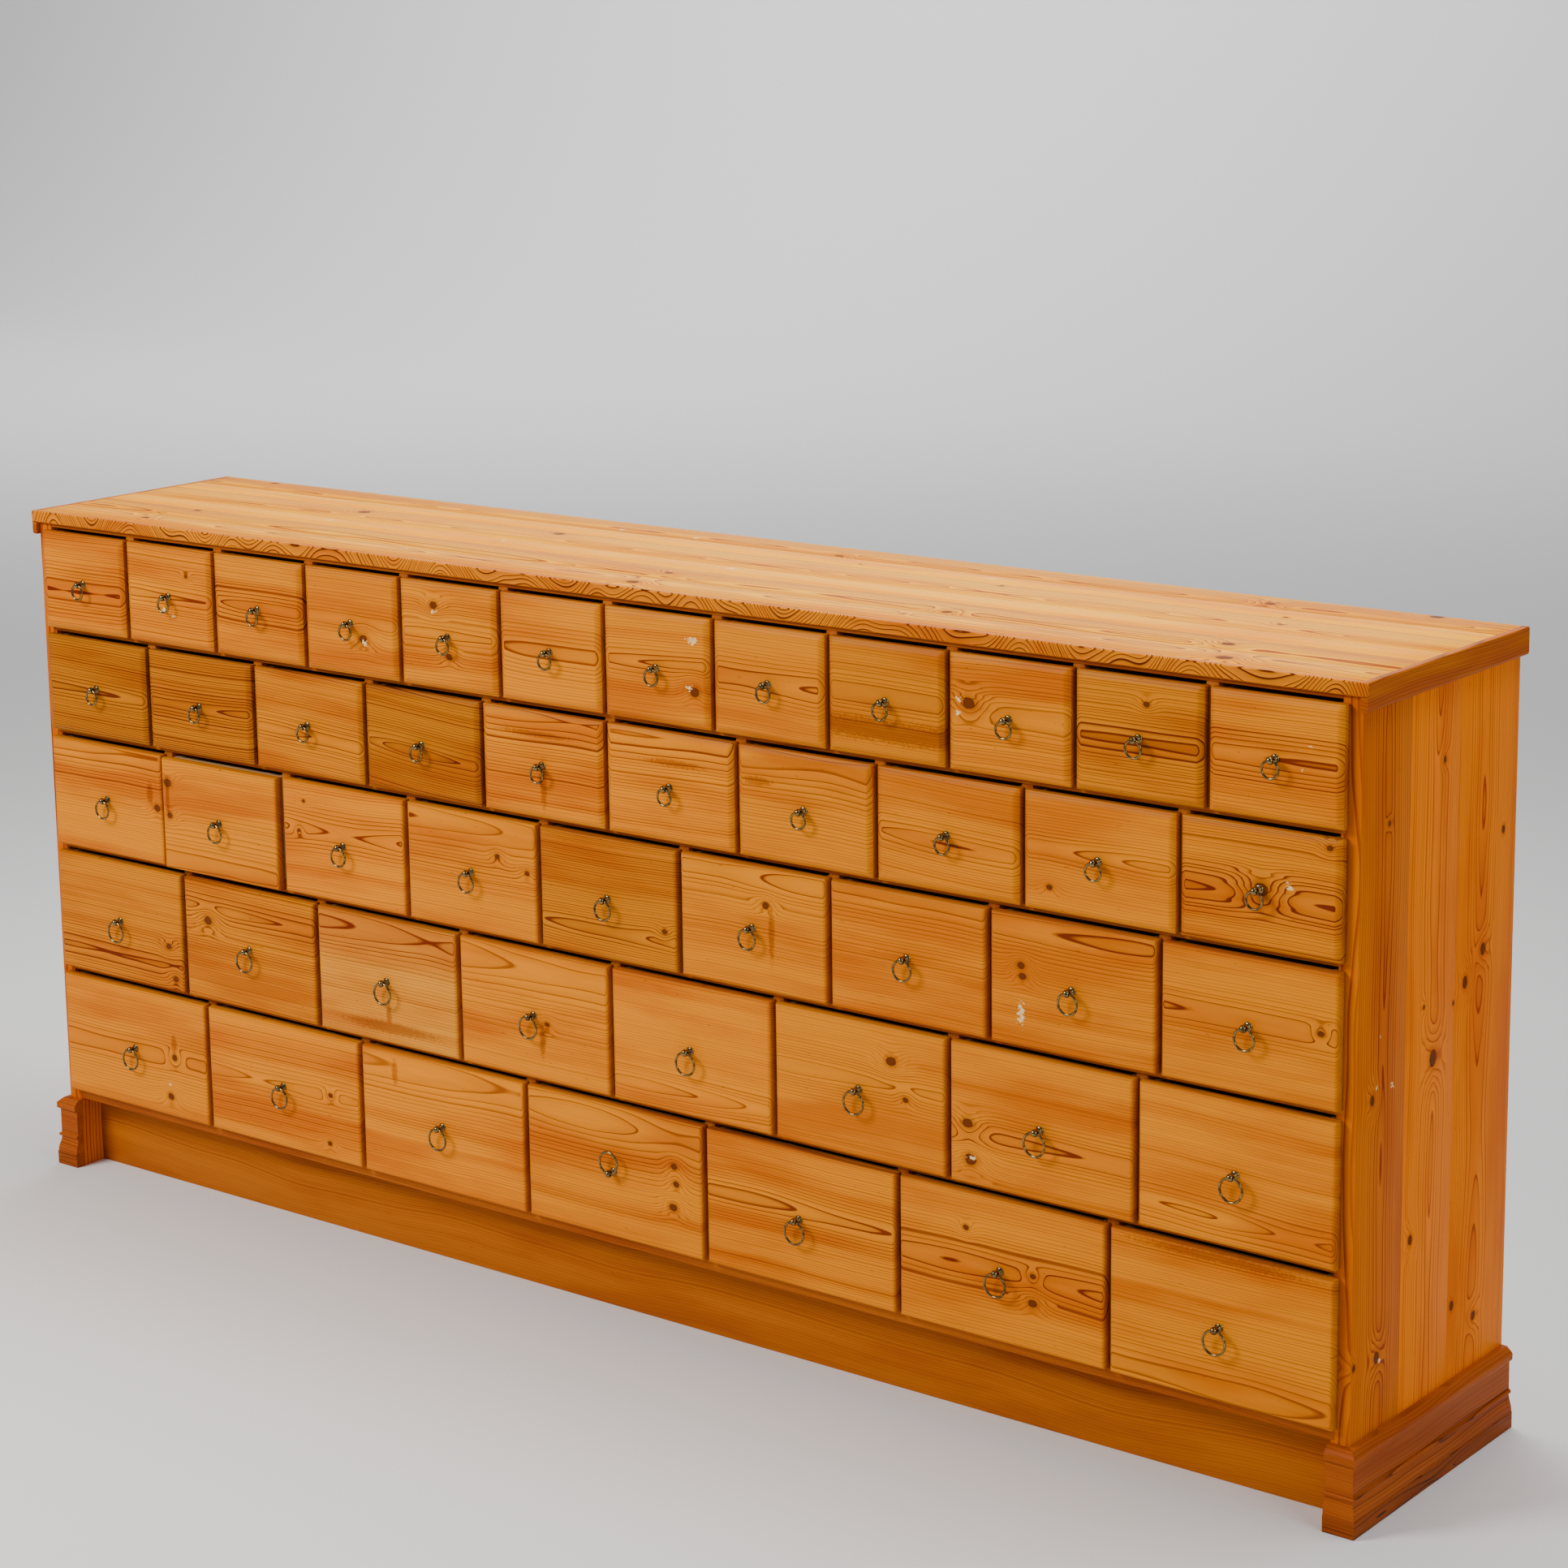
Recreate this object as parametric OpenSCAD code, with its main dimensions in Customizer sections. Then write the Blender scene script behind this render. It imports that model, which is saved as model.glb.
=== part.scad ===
// Apothecary cabinet: a low, wide pine case with five rows of drawers that grow from
// small at the top to large at the bottom. Every drawer has a thick applied front that
// laps over the frame, and a brass ring pull.
// Millimetres. X runs along the front, the drawers open towards -Y and Z is up. The
// origin is on the floor, at the middle of the whole cabinet's footprint.

/* [Case] */
// Width over the two side panels
case_w = 2000; // [1700:10:2400]
// Depth of the side panels, front to back
case_d = 350; // [290:5:450]
// Thickness of the side panels
side_t = 23; // [18:1:36]
// Height of the toe space, from the floor to the bottom board
toe_h = 98.5; // [95:0.5:160]
// Thickness of the bottom board
bottom_t = 25; // [18:0.5:32]
// Thickness of the shelves between the rows
shelf_t = 17; // [14:0.5:24]
// Thickness of the upright dividers between drawers
divider_t = 15; // [12:0.5:20]
// Depth of the housings in the side panels that the shelves fit into
housing_d = 6; // [3:0.5:10]
// Thickness of the back boards
back_t = 12; // [8:0.5:18]
// Number of back boards
back_n = 13; // [8:1:18]
// Gap between two back boards
back_gap = 1; // [0.5:0.1:3]

/* [Top] */
// Thickness of the worktop
top_t = 15.5; // [12:0.5:30]
// Thickness of the front rail under the worktop
rail_t = 5.5; // [3:0.5:20]
// Depth of the front rail under the worktop
rail_d = 70; // [40:5:120]
// How far the worktop stands out in front of the frame
top_lap_front = 6; // [3:0.5:12]
// How far the worktop stands out behind the side panels
top_lap_back = 4; // [0:0.5:10]
// Thickness of the edging strip along the front of the worktop
edging_front_t = 8.5; // [5:0.5:15]
// Thickness of the edging strips on the two ends of the worktop
edging_side_t = 8; // [5:0.5:10]
// Height of the edging strips on the two ends
edging_side_h = 31.5; // [22:0.5:50]
// Radius of the rounded lower edge of the end strips
edging_round = 4; // [2:0.5:4.5]

/* [Base] */
// Thickness of the plinth board
plinth_t = 18; // [12:1:25]
// How far the plinth board is set back behind the frame
plinth_back = 35; // [20:1:90]
// Height of the mouldings round the foot of each side
mould_h = 96; // [90:1:100]
// How far the mouldings stand out from the case
mould_t = 15; // [14:0.5:20]
// Height of the square band under the moulding
band_h = 19.5; // [12:0.5:22]

/* [Rows, from the top] */
// Number of drawers in row 1
row_1_n = 12; // [8:1:12]
// Number of drawers in row 2
row_2_n = 10; // [7:1:10]
// Number of drawers in row 3
row_3_n = 9; // [6:1:9]
// Number of drawers in row 4
row_4_n = 8; // [5:1:8]
// Number of drawers in row 5
row_5_n = 7; // [4:1:7]
// Height of the fronts in row 1
row_1_h = 131; // [90:0.5:200]
// Height of the fronts in row 2
row_2_h = 131; // [90:0.5:200]
// Height of the fronts in row 3
row_3_h = 149.5; // [90:0.5:220]
// Height of the fronts in row 4
row_4_h = 163; // [90:0.5:240]
// Height of the fronts in row 5
row_5_h = 168; // [90:0.5:240]

/* [Drawer fronts] */
// Thickness of a drawer front
front_t = 12; // [11:0.5:26]
// Gap between the back of a closed front and the frame
front_seat = 0.5; // [0.2:0.1:1]
// Gap between two fronts side by side
front_gap = 7; // [4:0.5:10]
// How far the outer fronts lap over the side panels
side_lap = 8; // [4:0.5:14]
// How far a front laps down over the board below it
floor_lap = 10.5; // [6:0.5:12]
// Gap between the top of a front and the top of its opening
front_top_gap = 3.5; // [1:0.5:5]
// Width of the bevel round the fronts of rows 1 and 2
bevel_wide = 8.5; // [3:0.5:12]
// Width of the bevel round the fronts of rows 3 to 5
bevel_narrow = 5.5; // [2:0.5:10]
// How far the bevels run back from the face
bevel_back = 3.5; // [1:0.5:6]

/* [Drawer boxes] */
// Thickness of the sides, back and inner front of a drawer box
box_t = 9; // [6:0.5:12]
// Thickness of a drawer bottom
box_bottom_t = 6; // [4:0.5:9]
// Gap at each side between a drawer box and its opening
box_side_gap = 1.5; // [0.5:0.1:3]
// Running gap under a drawer box
box_floor_gap = 0.5; // [0.2:0.1:1]
// Gap over a drawer box
box_head_gap = 6; // [3:0.5:12]
// How much lower the back of a drawer box is than its sides
box_back_drop = 6; // [0:0.5:20]
// Gap between a closed drawer box and the back boards
box_rear_gap = 8; // [4:0.5:25]

/* [Ring pulls] */
// Outside diameter of the rings in rows 1 and 2
ring_upper = 22.5; // [20:0.5:28]
// Outside diameter of the rings in row 3
ring_middle = 27; // [24:0.5:32]
// Outside diameter of the rings in rows 4 and 5
ring_lower = 30.5; // [26:0.5:34]
// Thickness of the ring wire
wire_d = 3; // [2.4:0.1:3.2]
// Diameter of the ball that the ring hangs through
ball_d = 9; // [8.5:0.1:10]
// Distance from the face of a front to the middle of the ball
ball_out = 10; // [9.5:0.5:14]
// Diameter of the rosette against the front
rosette_d = 10.5; // [8:0.5:14]
// Diameter of the screw shank in the front
shank_d = 3; // [2.5:0.1:4]
// Length of the screw shank
shank_l = 8; // [6:0.5:8]
// Radial clearance round a ring's wire in its ball, and round a shank in its pilot hole
pull_clear = 0.2; // [0.1:0.05:0.3]

/* [Hidden] */
$fn = 48;
rows = 5;
row_n = [row_1_n, row_2_n, row_3_n, row_4_n, row_5_n];
row_h = [row_1_h, row_2_h, row_3_h, row_4_h, row_5_h];
ring_d = [ring_upper, ring_upper, ring_middle, ring_lower, ring_lower];
bevel_w = [bevel_wide, bevel_wide, bevel_narrow, bevel_narrow, bevel_narrow];
pine = [0.86, 0.55, 0.22];
pine_pale = [0.90, 0.66, 0.34];
pine_dark = [0.60, 0.30, 0.13];
brass = [0.72, 0.58, 0.30];

// A glue line: it keeps the boards of one drawer separate solids
glue = 0.1;
// How far cutting shapes run past the surface that they cut
cut = 1;

// The drawer whose front was nailed on askew, and the gap it leaves to its neighbour
askew = [3, 2];
askew_gap = 1;
askew_down = 2.5;
// The drawer whose ring is flipped up
flipped = [5, 4];

// The frame's front plane, set so that the bounding box is centred on Y = 0
face_out = front_seat + front_t;
pull_out = face_out + ball_out + ball_d / 2;
frame_y = (pull_out - case_d - top_lap_back) / 2;
back_y = frame_y + case_d - back_t;
half_w = case_w / 2;
half_in = half_w - side_t;
front_span = 2 * (half_in + side_lap);
row_gap = shelf_t + front_top_gap - floor_lap;

// Heights, row 1 being the top one
function front_z(r) = r == rows ? toe_h + bottom_t - floor_lap
    : front_z(r + 1) + row_h[r] + row_gap;
function floor_z(r) = front_z(r) + floor_lap;
function ceiling_z(r) = front_z(r) + row_h[r - 1] + front_top_gap;
top_under = ceiling_z(1) + rail_t;
top_z = top_under + top_t;

// Places along a row, column 1 being the left one
function pitch(r) = (front_span + front_gap) / row_n[r - 1];
function front_x(r, c) = -front_span / 2 + (c - 1) * pitch(r);
function divider_x(r, c) = front_x(r, c) + pitch(r) - front_gap / 2;
function opening_left(r, c) = c == 1 ? -half_in : divider_x(r, c - 1) + divider_t / 2;
function opening_right(r, c) = c == row_n[r - 1] ? half_in : divider_x(r, c) - divider_t / 2;
function is_askew(r, c) = r == askew[0] && c == askew[1];
function shift_x(r, c) = is_askew(r, c) ? askew_gap - front_gap : 0;
function shift_z(r, c) = is_askew(r, c) ? -askew_down : 0;

// The middle of a drawer's ball, and the ring that hangs from it
ball_y = frame_y - face_out - ball_out;
function ball_x(r, c) = front_x(r, c) + (pitch(r) - front_gap) / 2 + shift_x(r, c);
function ball_z(r, c) = front_z(r) + row_h[r - 1] / 2 + shift_z(r, c);
function ring_r(r) = (ring_d[r - 1] - wire_d) / 2;
function ring_sag(r) = ring_r(r) - sqrt(pow(ring_r(r), 2) - pow(ball_d / 2, 2));
function eye_r(r) = wire_d / 2 + ring_sag(r) + pull_clear;

// Names such as drawer_1_05. The last ring of each row is a node of its own
function two(c) = str(c < 10 ? "0" : "", c);
function drawer_name(r, c) = str("drawer_", r, "_", two(c));
function ring_name(r) = str("ring_", r, "_", two(row_n[r - 1]));
function has_own_ring(r, c) = c == row_n[r - 1];

// A block between two corners
module block(lo, hi) {
    translate(lo) cube(hi - lo);
}

// Extrudes an outline drawn in Y and Z along X, from x0 to x1
module along_x(x0, x1) {
    translate([x0, 0, 0]) rotate([90, 0, 90]) linear_extrude(x1 - x0) children();
}

// Extrudes an outline drawn in X and Z along Y, from y0 to y1
module along_y(y0, y1) {
    translate([0, y1, 0]) rotate([90, 0, 0]) linear_extrude(y1 - y0) children();
}

// Points on an arc round a centre, from angle a0 to a1
function arc(centre, r, a0, a1, n) =
    [for (i = [0:n]) let (a = a0 + (a1 - a0) * i / n) centre + r * [cos(a), sin(a)]];

// The worktop, glued up from long boards, inside its edging
module top_panel() {
    color(pine_pale) block(
        [-half_w, frame_y - top_lap_front + edging_front_t, top_under],
        [half_w, frame_y + case_d + top_lap_back, top_z]
    );
}

// The strip along the front of the worktop, mitred at both ends
module front_edging() {
    y0 = frame_y - top_lap_front;
    x0 = half_w + edging_side_t;
    translate([0, 0, top_under]) linear_extrude(top_t) polygon([
        [-x0 + glue, y0],
        [x0 - glue, y0],
        [half_w - glue, y0 + edging_front_t],
        [-half_w + glue, y0 + edging_front_t]
    ]);
}

// The strip on the left end: it hangs below the worktop and laps over the side panel
module end_edging() {
    x0 = -half_w - edging_side_t;
    y0 = frame_y - top_lap_front;
    z0 = top_z - edging_side_h;
    r = edging_round;
    difference() {
        along_y(y0, frame_y + case_d + top_lap_back) polygon(concat(
            [[-half_w, top_z], [x0, top_z]],
            arc([x0 + r, z0 + r], r, 180, 270, 6),
            [[-half_w, z0]]
        ));
        // The mitre that meets the front strip
        translate([0, 0, top_under - glue]) linear_extrude(top_t + cut) polygon([
            [x0, y0],
            [x0 - cut, y0 - cut],
            [-half_w + cut, y0 - cut],
            [-half_w + cut, y0 + edging_front_t],
            [-half_w, y0 + edging_front_t]
        ]);
    }
}

module top_edging() {
    color(pine) {
        front_edging();
        end_edging();
        mirror([1, 0, 0]) end_edging();
    }
}

// The left side panel: it stands on the floor and has a housing for each shelf
module side_panel() {
    difference() {
        block([-half_w, frame_y, 0], [-half_in, frame_y + case_d, top_under]);
        shelf_boards(-half_in - housing_d, -half_in + cut);
    }
}

module side_panel_left() {
    color(pine) side_panel();
}

module side_panel_right() {
    color(pine) mirror([1, 0, 0]) side_panel();
}

// The bottom board and the shelves over rows 2 to 5, from x0 to x1
module shelf_boards(x0, x1) {
    block([x0, frame_y, toe_h], [x1, back_y, toe_h + bottom_t]);
    for (r = [2:rows]) {
        block([x0, frame_y, ceiling_z(r)], [x1, back_y, floor_z(r - 1)]);
    }
}

// The shelves, the bottom board and the thin rail under the worktop
module shelves() {
    color(pine) {
        shelf_boards(-half_in - housing_d, half_in + housing_d);
        block([-half_in, frame_y, ceiling_z(1)], [half_in, frame_y + rail_d, top_under]);
    }
}

// The uprights between neighbouring drawers. Those of row 1 stop under the rail
module dividers() {
    color(pine) for (r = [1:rows]) for (c = [1:row_n[r - 1] - 1]) {
        x = divider_x(r, c);
        block([x - divider_t / 2, frame_y, floor_z(r)], [x + divider_t / 2, back_y, ceiling_z(r)]);
    }
}

// Upright boards that close the back, between the side panels
module back_boards() {
    w = (2 * half_in - (back_n - 1) * back_gap) / back_n;
    color(pine_dark) for (i = [0:back_n - 1]) {
        x = -half_in + i * (w + back_gap);
        block([x, back_y, toe_h], [x + w, frame_y + case_d, top_under]);
    }
}

module plinth_board() {
    y = frame_y + plinth_back;
    color(pine_dark) block([-half_in, y, 0], [half_in, y + plinth_t, toe_h]);
}

// The moulding's outline: distance out from the case, and height. From the top it has a
// bevelled nose, a flat field, a bead, and an ogee that flares out to the band
nose_h = 16;
nose_r = 2.5;
field_in = 4.5;
ogee_h = 19;
bead_r = 2.7;
ogee_in = 0.8;
field_x = mould_t - field_in;
nose_z = mould_h - nose_h;
ogee_z = band_h + 1.5;
bead_z = ogee_z + ogee_h + bead_r;
function ogee(t) = field_x + (mould_t - ogee_in - field_x) * (1 + cos(180 * t)) / 2;
moulding = concat(
    [[0, band_h + glue], [mould_t - ogee_in, band_h + glue]],
    [for (i = [0:8]) [ogee(i / 8), ogee_z + ogee_h * i / 8]],
    arc([field_x, bead_z], bead_r, -80, 80, 6),
    [[field_x, bead_z + bead_r], [field_x, nose_z]],
    arc([mould_t - 1 - nose_r, nose_z + 2 * nose_r], nose_r, -80, 0, 4),
    [[mould_t - 1, nose_z + 3.5 * nose_r], [mould_t - 8, mould_h - 0.5]],
    [[mould_t - 9, mould_h], [0, mould_h]]
);
band = [[0, 0], [mould_t, 0], [mould_t, band_h], [0, band_h]];

// A moulding that runs back along the left side panel, mitred at its front end
module side_run(outline) {
    intersection() {
        along_y(frame_y - mould_t, frame_y + case_d)
            polygon([for (p = outline) [-half_w - p[0], p[1]]]);
        linear_extrude(mould_h) polygon([
            [-half_w, frame_y + glue],
            [-half_w, frame_y + case_d],
            [-half_w - mould_t, frame_y + case_d],
            [-half_w - mould_t, frame_y - mould_t + glue]
        ]);
    }
}

// The short return across the front edge of the left side panel
module front_return(outline) {
    intersection() {
        along_x(-half_w - mould_t, -half_in)
            polygon([for (p = outline) [frame_y - p[0], p[1]]]);
        linear_extrude(mould_h) polygon([
            [-half_w + glue, frame_y],
            [-half_w - mould_t + glue, frame_y - mould_t],
            [-half_in, frame_y - mould_t],
            [-half_in, frame_y]
        ]);
    }
}

module base_mouldings() {
    color(pine_dark) for (side = [0, 1]) mirror([side, 0, 0]) for (outline = [band, moulding]) {
        side_run(outline);
        front_return(outline);
    }
}

// A drawer front between two corners, bevelled round its face, with a pilot hole
module drawer_front(lo, hi, bevel) {
    y1 = lo[1] + bevel_back;
    difference() {
        intersection() {
            translate([0, 0, lo[2]]) linear_extrude(hi[2] - lo[2]) polygon([
                [lo[0], hi[1]],
                [lo[0], y1],
                [lo[0] + bevel, lo[1]],
                [hi[0] - bevel, lo[1]],
                [hi[0], y1],
                [hi[0], hi[1]]
            ]);
            along_x(lo[0], hi[0]) polygon([
                [hi[1], lo[2]],
                [y1, lo[2]],
                [lo[1], lo[2] + bevel],
                [lo[1], hi[2] - bevel],
                [y1, hi[2]],
                [hi[1], hi[2]]
            ]);
        }
        translate([(lo[0] + hi[0]) / 2, lo[1] - cut, (lo[2] + hi[2]) / 2]) rotate([-90, 0, 0])
            cylinder(d = shank_d + 2 * pull_clear, h = cut + shank_l + 2);
    }
}

// The brass stud at the origin, which is the middle of its ball: screw shank, rosette,
// neck and a ball with an eye for the ring
module stud(r) {
    rosette_t = 1.6;
    neck_d = 4.5;
    collar_d = 7;
    difference() {
        rotate([-90, 0, 0]) {
            sphere(d = ball_d);
            cylinder(d = neck_d, h = ball_out - rosette_t);
            translate([0, 0, ball_out - 2 * rosette_t]) cylinder(d = collar_d, h = rosette_t);
            translate([0, 0, ball_out - rosette_t]) cylinder(d = rosette_d, h = rosette_t - glue);
            translate([0, 0, ball_out - rosette_t])
                cylinder(d = shank_d, h = rosette_t + shank_l);
        }
        rotate([0, 90, 0]) cylinder(r = eye_r(r), h = ball_d + cut, center = true);
    }
}

// A wire ring hanging through the eye at the origin, or standing up from it
module ring(r, up = false) {
    translate([0, 0, up ? ring_r(r) : -ring_r(r)]) rotate([90, 0, 0])
        rotate_extrude() translate([ring_r(r), 0]) circle(d = wire_d);
}

// A drawer: an open box behind an applied front, with its stud and its ring
module drawer(r, c) {
    x0 = opening_left(r, c) + box_side_gap;
    x1 = opening_right(r, c) - box_side_gap;
    y0 = frame_y - front_seat + glue;
    y1 = back_y - box_rear_gap;
    z0 = floor_z(r) + box_floor_gap;
    z1 = z0 + box_bottom_t + glue;
    z2 = ceiling_z(r) - box_head_gap;
    fx = front_x(r, c) + shift_x(r, c);
    fz = front_z(r) + shift_z(r, c);
    color(pine) drawer_front(
        [fx, frame_y - face_out, fz],
        [fx + pitch(r) - front_gap, frame_y - front_seat, fz + row_h[r - 1]],
        bevel_w[r - 1]
    );
    color(pine_pale) {
        block([x0, y0, z0], [x1, y1, z0 + box_bottom_t]);
        block([x0, y0, z1], [x0 + box_t, y1, z2]);
        block([x1 - box_t, y0, z1], [x1, y1, z2]);
        block([x0 + box_t + glue, y0, z1], [x1 - box_t - glue, y0 + box_t, z2]);
        block([x0 + box_t + glue, y1 - box_t, z1], [x1 - box_t - glue, y1, z2 - box_back_drop]);
    }
    translate([ball_x(r, c), ball_y, ball_z(r, c)]) color(brass) {
        stud(r);
        if (!has_own_ring(r, c)) ring(r, up = [r, c] == flipped);
    }
}

// The ring of a row's last drawer, which swings on its own joint
module loose_ring(r) {
    c = row_n[r - 1];
    translate([ball_x(r, c), ball_y, ball_z(r, c)]) color(brass) ring(r);
}

top_panel();
top_edging();
side_panel_left();
side_panel_right();
shelves();
dividers();
back_boards();
plinth_board();
base_mouldings();
for (r = [1:rows]) for (c = [1:row_n[r - 1]]) {
    drawer(r, c);
}
for (r = [1:rows]) {
    loose_ring(r);
}
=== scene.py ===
"""Apothecary cabinet in varnished pine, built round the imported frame.

Lengths are in metres. X runs along the front, the drawers open towards -Y and Z is up.
"""

import math
import random

import bmesh
import bpy
from mathutils import Matrix, Vector, noise


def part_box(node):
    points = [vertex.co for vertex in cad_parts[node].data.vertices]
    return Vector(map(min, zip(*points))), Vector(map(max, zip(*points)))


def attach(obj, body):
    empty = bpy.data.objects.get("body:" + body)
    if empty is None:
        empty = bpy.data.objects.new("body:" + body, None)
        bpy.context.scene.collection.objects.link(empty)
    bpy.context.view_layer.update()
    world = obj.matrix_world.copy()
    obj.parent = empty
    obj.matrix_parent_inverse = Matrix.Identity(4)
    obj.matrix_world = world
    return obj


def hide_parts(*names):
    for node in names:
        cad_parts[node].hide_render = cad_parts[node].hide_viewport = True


# Without a seed of its own, noise_vector starts from the clock and each run differs.
noise.seed_set(1)

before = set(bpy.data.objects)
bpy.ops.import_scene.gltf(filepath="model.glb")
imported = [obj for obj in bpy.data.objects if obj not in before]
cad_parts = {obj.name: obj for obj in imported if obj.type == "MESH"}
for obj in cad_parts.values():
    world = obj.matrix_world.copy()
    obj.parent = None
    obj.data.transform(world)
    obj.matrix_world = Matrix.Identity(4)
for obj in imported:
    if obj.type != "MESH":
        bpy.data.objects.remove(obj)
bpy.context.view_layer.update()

MM = 0.001
X, Y, Z = Vector((1, 0, 0)), Vector((0, 1, 0)), Vector((0, 0, 1))


# ---------------------------------------------------------------- places from the frame


def drawer_names():
    """{(row, column): node name} of every drawer, from names such as drawer_1_05."""
    found = {}
    for name in sorted(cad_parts):
        if name.startswith("drawer_"):
            row, column = name.split("_")[1:]
            found[int(row), int(column)] = name
    return found


DRAWERS = drawer_names()
SIDE_LO, SIDE_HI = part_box("side_panel_left")
FRAME_Y = SIDE_LO.y
HALF_W = -SIDE_LO.x
HALF_IN = -SIDE_HI.x
TOP_LO, TOP_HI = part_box("top_panel")


def loose_rings():
    """{drawer name: ring body name} of the rings that swing on a joint of their own."""
    return {"drawer" + n[4:]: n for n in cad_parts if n.startswith("ring_")}


RINGS = loose_rings()


# ---------------------------------------------------------------- camera, light and floor


CAMERA_PLACE = Vector((2.729, FRAME_Y - 3.193, 1.679))
CAMERA_TURN = (38.49, 11.37, -0.91)  # azimuth, elevation and roll, in degrees
CAMERA_LENS = 83.26
CAMERA_SHIFT = (0.0316, -0.0839)
SENSOR = 36


def make_camera():
    """Stands right of the middle and a little above the worktop, as the photograph does."""
    azimuth, elevation, roll = (math.radians(a) for a in CAMERA_TURN)
    forward = Vector(
        (
            -math.sin(azimuth) * math.cos(elevation),
            math.cos(azimuth) * math.cos(elevation),
            -math.sin(elevation),
        )
    )
    level = forward.cross(Vector((0, 0, 1))).normalized()
    upright = level.cross(forward)
    right = level * math.cos(roll) + upright * math.sin(roll)
    up = upright * math.cos(roll) - level * math.sin(roll)
    data = bpy.data.cameras.new("camera")
    data.sensor_width = SENSOR
    data.lens = CAMERA_LENS
    data.shift_x, data.shift_y = CAMERA_SHIFT
    camera = bpy.data.objects.new("camera", data)
    bpy.context.scene.collection.objects.link(camera)
    turn = Matrix((right, up, -forward)).transposed().to_4x4()
    camera.matrix_world = Matrix.Translation(CAMERA_PLACE) @ turn
    bpy.context.scene.camera = camera


def area_light(name, place, target, size, power, colour=(1, 1, 1)):
    data = bpy.data.lights.new(name, "AREA")
    data.shape = "RECTANGLE"
    data.size, data.size_y = size
    data.energy = power
    data.color = colour
    light = bpy.data.objects.new(name, data)
    bpy.context.scene.collection.objects.link(light)
    light.location = place
    light.rotation_euler = (Vector(target) - Vector(place)).to_track_quat("-Z", "Y").to_euler()


def make_studio():
    """A pale floor that curves up into a wall, a grey surround, a key high on the left, a
    soft top light, a fill on the side panel and a wash on the wall."""
    bm = bmesh.new()
    half, front, back, rise, radius = 14.0, -12.0, 9.5, 6.0, 2.5
    path = [(front, 0.0), (back - radius, 0.0)]
    for i in range(1, 13):
        a = math.radians(90 * i / 12)
        path.append((back - radius + radius * math.sin(a), radius - radius * math.cos(a)))
    path.append((back, rise))
    columns = [[bm.verts.new((x, y, z)) for y, z in path] for x in (-half, half)]
    for i in range(len(path) - 1):
        bm.faces.new((columns[0][i], columns[1][i], columns[1][i + 1], columns[0][i + 1]))
    mesh = bpy.data.meshes.new("floor")
    bm.to_mesh(mesh)
    bm.free()
    for face in mesh.polygons:
        face.use_smooth = True
    floor = bpy.data.objects.new("floor", mesh)
    bpy.context.scene.collection.objects.link(floor)
    material = bpy.data.materials.new("floor")
    material.use_nodes = True
    shader = material.node_tree.nodes["Principled BSDF"]
    shader.inputs["Base Color"].default_value = (0.76, 0.76, 0.755, 1)
    shader.inputs["Roughness"].default_value = 0.8
    mesh.materials.append(material)

    world = bpy.data.worlds.new("studio")
    world.use_nodes = True
    background = world.node_tree.nodes["Background"]
    background.inputs["Color"].default_value = (0.95, 0.97, 1.0, 1)
    background.inputs["Strength"].default_value = 0.255
    bpy.context.scene.world = world
    area_light("key", (-2.0, -3.2, 3.2), (0, 0, 0.5), (1.6, 1.6), 190, (1.0, 0.98, 0.95))
    area_light("top", (0.2, 0.6, 2.9), (0, 0.0, 0.9), (3.4, 1.2), 105)
    area_light("side", (4.6, -1.4, 2.4), (0.9, 0, 0.5), (1.8, 1.8), 48)
    area_light("wash", (-6.0, 5.0, 6.0), (-7.5, 9.5, 2.4), (5.0, 1.5), 600)


# ---------------------------------------------------------------- shader arithmetic


class Net:
    """Adds shader nodes to a tree, so that a pattern reads as arithmetic on sockets."""

    def __init__(self, tree):
        self.tree = tree

    def put(self, socket, value):
        if isinstance(value, bpy.types.NodeSocket):
            self.tree.links.new(value, socket)
        else:
            socket.default_value = value

    def add(self, kind, inputs=None, **settings):
        node = self.tree.nodes.new(kind)
        for key, value in settings.items():
            setattr(node, key, value)
        for key, value in (inputs or {}).items():
            self.put(node.inputs[key], value)
        return node

    def math(self, operation, *values, clamp=False):
        node = self.add("ShaderNodeMath", operation=operation, use_clamp=clamp)
        for socket, value in zip(node.inputs, values):
            self.put(socket, value)
        return node.outputs[0]

    def plus(self, a, b):
        return self.math("ADD", a, b)

    def minus(self, a, b):
        return self.math("SUBTRACT", a, b)

    def times(self, a, b):
        return self.math("MULTIPLY", a, b)

    def length(self, a, b):
        return self.math("SQRT", self.plus(self.times(a, a), self.times(b, b)))

    def split(self, vector):
        return self.add("ShaderNodeSeparateXYZ", {0: vector}).outputs[:]

    def join(self, x, y, z):
        return self.add("ShaderNodeCombineXYZ", {0: x, 1: y, 2: z}).outputs[0]

    def step(self, value, low, high):
        """0 below low, 1 above high and smooth between. high may be under low."""
        node = self.add("ShaderNodeMapRange", {0: value, 1: low, 2: high})
        node.interpolation_type = "SMOOTHSTEP"
        return node.outputs[0]

    def noise(self, vector, detail=2.0, roughness=0.5):
        inputs = {"Vector": vector, "Scale": 1.0, "Detail": detail, "Roughness": roughness}
        return self.add("ShaderNodeTexNoise", inputs).outputs[0]

    def mix(self, share, a, b, blend="MIX"):
        node = self.add("ShaderNodeMix", data_type="RGBA", blend_type=blend)
        for index, value in zip((0, 6, 7), (share, a, b)):
            self.put(node.inputs[index], value)
        return node.outputs[2]

    def use(self, group, inputs):
        node = self.add("ShaderNodeGroup", node_tree=group)
        for key, value in inputs.items():
            self.put(node.inputs[key], value)
        return node.outputs


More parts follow.
